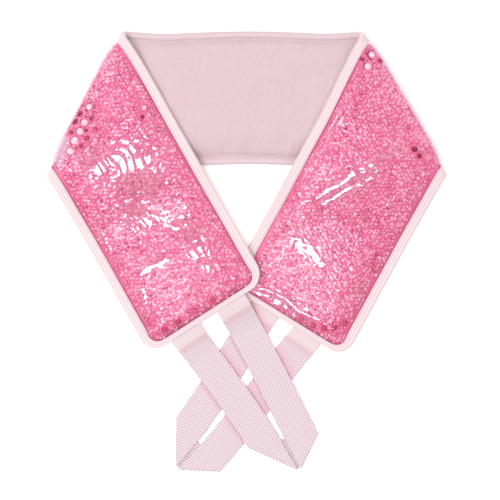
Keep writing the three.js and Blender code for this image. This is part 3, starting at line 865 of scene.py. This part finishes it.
def binding_section():
    """The folded cloth's outline: ribbed lip on the plush side, round the rim, ribbed lip on the film
    side, and back inside. Ribs are a raised sine across each lip."""
    across = np.linspace(0, 1, 13)
    lip = BINDING_WIDTH - RIM_ROUND
    inset_out = BINDING_WIDTH - across * lip
    ribs = RIB_HEIGHT * (0.5 + 0.5 * np.cos(2 * np.pi * inset_out / RIB_PITCH)) * np.minimum(1, 6 * across)
    turn = np.linspace(0, np.pi, 9)[1:-1]
    middle, half = (BINDING_PLUSH + BINDING_FILM) / 2, (BINDING_PLUSH - BINDING_FILM) / 2
    rim_inset = RIM_ROUND - RIM_ROUND * np.sin(turn)
    rim_h = middle + half * np.cos(turn)
    inner_plush, inner_film = BINDING_PLUSH - BINDING_CLOTH, BINDING_FILM + BINDING_CLOTH
    plush_side = RIM_ROUND + (inset_out - RIM_ROUND) * (PLUSH_LIP - RIM_ROUND) / lip
    inside = [BINDING_WIDTH - 0.1, 1.5, 1.5, PLUSH_LIP - 0.1]
    inset = np.concatenate([plush_side, rim_inset, inset_out[::-1], inside])
    h = np.concatenate([
        BINDING_PLUSH - RIB_HEIGHT + ribs,
        rim_h,
        (BINDING_FILM + RIB_HEIGHT - ribs)[::-1],
        [inner_film, inner_film, inner_plush, inner_plush],
    ])
    return inset, h


path = round_path(*BINDING_STEPS)
section_inset, section_h = binding_section()
lip = lip_share(*path_places(path, LIP_MIDDLE))
binding_s, binding_t = path_places(path, section_inset[None, :] * lip)
pucker = 0.1 * ripple(binding_s, binding_t, 9, 31)
section_rim = np.clip(1 - np.abs(section_inset - LIP_MIDDLE) / LIP_MIDDLE, 0, 1)[None, :]
points = pad_point(binding_s, binding_t, section_h[None, :] + pucker * section_rim).reshape(-1, 3)
faces = grid_faces(*binding_s.shape, wrap_rows=True, wrap_columns=True)
places = binding_s, section_h < 0, section_inset
binding = put_mesh("edge_binding_cloth", points, faces, "edge_binding", places)

finish = Finish("binding")
lines = (finish.place(2) * (2 * np.pi / RIB_PITCH) + np.pi / 2).sine()
weave = finish.noise(1400)
face = finish.place(1)
# The ribs' ridges are painted lighter and their grooves darker: painted light and shade across the ribs.
groove_painted_shade = finish.blend(face, srgb(216, 189, 195), srgb(234, 201, 208))
ridge_painted_light = finish.blend(face, srgb(226, 206, 209), srgb(246, 233, 231))
tone = finish.blend(lines * 0.5 + 0.5, groove_painted_shade, ridge_painted_light)
finish.set(
    Base_Color=finish.blend(weave * 0.35, tone, srgb(230, 206, 211)),
    Roughness=0.7,
    Sheen_Weight=0.2,
    Normal=finish.bump(weave, 0.35, 0.0003),
)
finish.dress(binding)


def run_along(line):
    """The distance along a line of points from its first point to each."""
    return np.concatenate([[0], np.cumsum(np.linalg.norm(np.diff(line, axis=0), axis=1))])


def on_line(at, run, line):
    """The places on a line of points at the given values of its run."""
    return np.stack([np.interp(at, run, line[:, k]) for k in range(3)], axis=-1)


def stitch_row(inset, h, inward):
    """One row of lockstitches round the binding: evenly spaced, each a flattened capsule lying along the
    seam, its height a half sine so that both ends go into the cloth."""
    seam = path_places(path, inset * lip)
    line = pad_point(*seam, h)[:, 0]
    lifted = pad_point(*seam, h + inward)[:, 0] - line
    closed = np.vstack([line, line[:1]])
    lifted = np.vstack([lifted, lifted[:1]])
    run = run_along(closed)
    count = int(run[-1] / STITCH_PITCH)
    starts = np.arange(count) * run[-1] / count
    along = starts[:, None] + np.linspace(0, STITCH_LENGTH, STITCH_STATIONS)[None, :]
    stations = np.arange(len(closed))
    place = np.interp(along % run[-1], run, stations)
    at, up = on_line(place, stations, closed), on_line(place, stations, lifted)
    ahead = np.gradient(at, axis=1)
    ahead /= np.linalg.norm(ahead, axis=-1, keepdims=True)
    beside = np.cross(ahead, up)
    hump = np.sin(np.linspace(0, np.pi, STITCH_STATIONS))[None, :, None]
    centre = at + up * (hump * STITCH_RISE - 1.0) * THREAD
    turn = np.linspace(0, 2 * np.pi, STITCH_SIDES, endpoint=False)[None, None, :, None]
    ring = centre[:, :, None] + THREAD * (np.cos(turn) * beside[:, :, None] + np.sin(turn) * up[:, :, None])
    size = STITCH_STATIONS * STITCH_SIDES
    cap = np.arange(STITCH_SIDES)
    tube = grid_faces(STITCH_STATIONS, STITCH_SIDES, wrap_columns=True)
    one = np.concatenate([tube, [cap, size - 1 - cap]])
    return ring.reshape(-1, 3), (one[None] + np.arange(count)[:, None, None] * size).reshape(-1, 4)


film_row, film_faces = stitch_row(FILM_SEAM, BINDING_FILM, -1.0)
plush_row, plush_faces = stitch_row(PLUSH_SEAM, BINDING_PLUSH, 1.0)
points = np.concatenate([film_row, plush_row])
faces = np.concatenate([film_faces, plush_faces + len(film_row)])
stitches = put_mesh("binding_stitches", points, faces)

finish = Finish("thread")
twist = finish.blend(finish.noise(2600), srgb(232, 196, 204), srgb(250, 236, 238))
finish.set(Base_Color=twist, Roughness=0.6)
finish.dress(stitches)

# Webbing loops
# Each end has one 25 mm wide webbing loop, both its ends sewn into the bound edge. The webbing is folded
# over itself twice at the loop's point, and the left loop lies over the right one.
WEBBING_WIDTH = 25
WEBBING_THICKNESS = 1.2
WEBBING_GAP = 0.3
TIP_BLUNT = 1.4
LEG_LEAD = 0.75 * WEBBING_WIDTH
LOW_LEVEL = WEBBING_THICKNESS / 2
HIGH_LEVEL = LOW_LEVEL + WEBBING_THICKNESS + WEBBING_GAP
TUCK = 3.0
SEAT_GAP = 0.3
EDGE_ROUND = 0.035
WEAVE_PITCH = 1.7
COUNTER_PITCH = 2.5
WEAVE_HEIGHT = 0.1
WEBBING_STEP = 0.6
WEBBING_COLUMNS = 40
PAINTED_LIGHT_RUN = 11
SHADE_RUN = 3.2
CLIMB_RUN = 12

# One row for each loop: its end, its seats across the flap's end, and its way from there, as the solids
# have it
LOOPS = {
    "left": dict(side=-1.0, seats=(-21.5, 21.5), reach=134.6, sway=3.2, starts=(8, 0),
                 turns=(0.4, -2.6), tip=71.4, level=HIGH_LEVEL, drop=26),
    "right": dict(side=1.0, seats=(19.5, -19.5), reach=137, sway=-19.6, starts=(-5, -12),
                  turns=(-11.6, -15.6), tip=67.4, level=LOW_LEVEL, drop=14),
}


def heading_vector(degrees):
    return np.array([np.cos(np.radians(degrees)), np.sin(np.radians(degrees))])


def cubic(a, b, c, d, u):
    """A cubic curve through four handles, and its slope."""
    u = u[:, None]
    place = a * (1 - u) ** 3 + 3 * b * u * (1 - u) ** 2 + 3 * c * u**2 * (1 - u) + d * u**3
    slope = 3 * ((b - a) * (1 - u) ** 2 + 2 * (c - b) * u * (1 - u) + (d - c) * u**2)
    return place, slope


def leg_lines(loop, seat, start, outer, inner, leg_heading):
    """Outer and inner edge of one leg from the binding to its fold, and its normals, which point up."""
    side = loop["side"]
    across = np.sign(seat) * WEBBING_WIDTH / 2
    length = pad_length(side)
    seat_t = np.array([seat + across, seat - across])
    sewn = pad_point(side * (length + SEAT_GAP), seat_t, HALF_GAP)
    tucked = pad_point(side * (length - TUCK), seat_t, HALF_GAP)
    begin, goal = sewn[:, :2].mean(axis=0), (outer + inner) / 2
    span = np.hypot(*(goal - begin))
    last = 1 - LEG_LEAD / span
    u = np.linspace(0, last, 90)[1:]
    handles = begin + heading_vector(start) * span / 3, goal - heading_vector(leg_heading) * span / 3
    middle, slope = cubic(begin, *handles, goal, u)
    square = np.stack([-slope[:, 1], slope[:, 0]], axis=1) / np.linalg.norm(slope, axis=1, keepdims=True)
    square *= np.sign((square[-1] * (outer - inner)).sum()) * WEBBING_WIDTH / 2
    climb = smooth(1 - (last - u) * span / CLIMB_RUN)
    settled = loop["level"] + (HIGH_LEVEL - loop["level"]) * climb
    drop = smooth(u * span / loop["drop"])
    heights = [sewn[k, 2] + (settled - sewn[k, 2]) * drop for k in (0, 1)]
    edges = []
    for k, sign in ((0, 1), (1, -1)):
        run = np.column_stack([middle + sign * square, heights[k]])
        end = np.array([*(outer, inner)[k], HIGH_LEVEL])
        bridge = run[-1] + (end - run[-1]) * np.linspace(0, 1, 16)[1:-1, None]
        edges.append(np.concatenate([[tucked[k]], [sewn[k]], run, bridge]))
    return edges[0], edges[1], np.tile([0.0, 0.0, 1.0], (len(edges[0]), 1))


def turn_lines(outer, inner, away):
    """The half turn of the webbing along a mitre fold, from the upper layer to the lower one."""
    angle = np.linspace(0, np.pi, 13)[:, None]
    half = (HIGH_LEVEL - LOW_LEVEL) / 2
    level = LOW_LEVEL + half + half * np.cos(angle)
    edges = [np.hstack([p + away * half * np.sin(angle), level]) for p in (outer, inner)]
    return edges[0], edges[1], np.hstack([away * np.sin(angle), np.cos(angle)])


def loop_lines(loop):
    """Outer edge, inner edge and normals of a whole loop, from one seat round its point to the other."""
    side = np.array([loop["side"]])
    length = pad_length(side)
    end_x, end_y, _, _ = plan_place(side * length, np.zeros(1))
    back_x, back_y, _, _ = plan_place(side * (length - 1), np.zeros(1))
    heading = np.degrees(np.arctan2(end_y - back_y, end_x - back_x))[0]
    out = heading_vector(heading)
    aside = np.array([-out[1], out[0]])
    point = np.array([end_x[0], end_y[0]]) + out * loop["reach"] + aside * loop["sway"]
    tip = heading + loop["tip"]
    parts = []
    for k, way in ((0, -1), (1, 1)):
        leg = heading + loop["turns"][k]
        line = (leg + tip) / 2 if k == 0 else (tip + leg + 180) / 2
        along = heading_vector(line) * way
        outer = point + along * WEBBING_WIDTH / abs(np.sin(np.radians(line - tip)))
        inner = point + along * TIP_BLUNT
        away = np.array([-along[1], along[0]])
        away = away * np.sign((away * heading_vector(leg)).sum())
        down = leg_lines(loop, loop["seats"][k], heading + loop["starts"][k], outer, inner, leg)
        under = turn_lines(outer, inner, away)
        parts.append([np.concatenate(pair) for pair in zip(down, under)])
    lines = []
    for first, second in zip(*parts):
        between = first[-1] + (second[-1] - first[-1]) * np.linspace(0, 1, 14)[1:-1, None]
        lines.append(np.concatenate([first, between, second[::-1]]))
    return lines


def resample(lines, step):
    """The same lines with evenly spaced stations, measured along the middle of the webbing."""
    middle = (lines[0] + lines[1]) / 2
    run = run_along(middle)
    even = np.linspace(0, run[-1], int(run[-1] / step))
    return [on_line(even, run, line) for line in lines], even


def leg_shade(place, edges):
    """How deep a point of the lower webbing lies in the shade of the upper one: it falls off with the
    distance to the nearest edge point on its left."""
    nearest = np.full(place.shape[:2], FAR_AWAY)
    for x, y, _ in np.concatenate(edges)[::2]:
        away = np.hypot(place[..., 0] - x, place[..., 1] - y)
        nearest = np.minimum(nearest, np.where(place[..., 0] > x, away, FAR_AWAY))
    return np.exp(-nearest / SHADE_RUN)


def webbing(name, loop, replaces, above=None):
    """A woven ribbon: a flat oval section carried along the loop, with the weave's diagonal rows of
    raised dots as the product of two slanted sine waves."""
    (outer, inner, normals), run = resample(loop_lines(loop), WEBBING_STEP)
    normals = normals / np.linalg.norm(normals, axis=1, keepdims=True)
    across = np.linspace(0, 1, WEBBING_COLUMNS)
    rim = np.minimum(1, np.minimum(across, 1 - across) / EDGE_ROUND) ** 0.5
    column = (across * WEBBING_WIDTH)[None, :]
    row = run_along(outer)[:, None] * (1 - across) + run_along(inner)[:, None] * across
    dots = np.sin(np.pi * (row + column) / WEAVE_PITCH) * np.sin(np.pi * (row - column) / COUNTER_PITCH)
    thick = WEBBING_THICKNESS / 2 * (0.4 + 0.6 * rim)[None, :] - WEAVE_HEIGHT + WEAVE_HEIGHT * dots
    place = outer[:, None, :] * (1 - across)[None, :, None] + inner[:, None, :] * across[None, :, None]
    lift = normals[:, None, :] * thick[..., None]
    points, faces = slab(place + lift, place - lift)
    places = row, column, np.minimum(row, row[-1:] - row)
    piece = put_mesh(name, points, faces, replaces, places)
    shade = leg_shade(place, above) if above else 0 * row
    layer = piece.data.attributes.new("shade", "FLOAT", "POINT")
    layer.data.foreach_set("value", np.tile(shade.ravel(), 2).astype(np.float32))
    return piece


left_loop = webbing("webbing_loop_left", LOOPS["left"], "strap_loop_left")
upper_edges = loop_lines(LOOPS["left"])[:2]
right_loop = webbing("webbing_loop_right", LOOPS["right"], "strap_loop_right", upper_edges)

finish = Finish("webbing")
row, column, seat = (finish.place(axis) for axis in range(3))
first = ((row + column) * (np.pi / WEAVE_PITCH)).sine()
second = ((row - column) * (np.pi / COUNTER_PITCH)).sine()
dots = (first * second * 0.5 + 0.5) ** 1.6
fuzz = finish.noise(1800)
# Painted light and shade: the first stretch from each seat is painted lighter where the webbing slopes down
# from the flap's raised end, and a pink line after it is painted shade where it settles.
band = finish.node("ShaderNodeMapRange", {0: seat, 1: PAINTED_LIGHT_RUN, 2: PAINTED_LIGHT_RUN + 3})
line = finish.node("ShaderNodeMapRange", {0: seat, 1: PAINTED_LIGHT_RUN + 1, 2: PAINTED_LIGHT_RUN + 7, 3: 1.0, 4: 0.0})
tone = finish.blend(dots, srgb(241, 228, 230), srgb(192, 152, 171))
tone = finish.blend(band, finish.blend(0.5, tone, srgb(242, 224, 228)), tone)
tone = finish.blend(band * line * 0.5, tone, srgb(214, 150, 170))
tone = finish.blend(finish.attribute("shade", 2) * 0.8, tone, srgb(226, 146, 176))
finish.set(
    Base_Color=finish.blend(fuzz * 0.3, tone, srgb(228, 200, 208)),
    Roughness=0.82,
    Sheen_Weight=0.15,
    Normal=finish.bump(fuzz, 0.25, 0.0003),
)
finish.dress(left_loop, right_loop)

STRIP = (FOLD_WIDTH * MM, pad_length(np.array([-1.0, 1.0])).sum() * MM)

# Table, light and camera
# A plain white table under soft lamps, seen from straight above as in the photograph.
PIXEL = 0.76 * MM
VIEW_WIDTH = 500 * PIXEL
CAMERA_HEIGHT = 1.7
SENSOR_WIDTH = 36
PHOTO_MIDDLE = (SHIFT[0] * MM, SHIFT[1] * MM - 0.1155)
TABLE_WIDTH = 6
TABLE_DEPTH = 0.0003
WHITE = (1, 1, 1)


def lamp(name, place, width, height, power):
    """A soft rectangular lamp that faces the middle of the table."""
    data = bpy.data.lights.new(name, "AREA")
    data.shape = "RECTANGLE"
    data.size, data.size_y = width, height
    data.energy = power
    made = bpy.data.objects.new(name, data)
    made.location = place
    made.rotation_euler = (-Vector(place)).to_track_quat("-Z", "Y").to_euler()
    bpy.context.scene.collection.objects.link(made)


bpy.ops.mesh.primitive_plane_add(size=TABLE_WIDTH, location=(0, 0, -TABLE_DEPTH))
table = bpy.context.object
table.name = "table_top"
finish = Finish("table")
finish.set(Base_Color=(0.93, 0.93, 0.93), Roughness=0.9, Emission_Color=WHITE, Emission_Strength=0.3)
finish.dress(table)

world = bpy.data.worlds.new("soft_room")
world.use_nodes = True
backdrop = world.node_tree.nodes["Background"]
backdrop.inputs["Color"].default_value = (*WHITE, 1)
backdrop.inputs["Strength"].default_value = 0.54
bpy.context.scene.world = world

lamp("lamp_left", (-0.41, -0.22, 1.5), 0.34, 0.72, 10)
lamp("lamp_side", (-1.6, 0.9, 1.5), 1.2, 1.2, 12)
lamp("lamp_right", (1.6, 0.9, 1.5), 1.5, 1.5, 10)

data = bpy.data.cameras.new("photo_camera")
data.sensor_width = SENSOR_WIDTH
data.lens = SENSOR_WIDTH * CAMERA_HEIGHT / VIEW_WIDTH
camera = bpy.data.objects.new("photo_camera", data)
camera.location = (*PHOTO_MIDDLE, CAMERA_HEIGHT)
bpy.context.scene.collection.objects.link(camera)
bpy.context.scene.camera = camera
bpy.context.scene.view_settings.view_transform = "Standard"
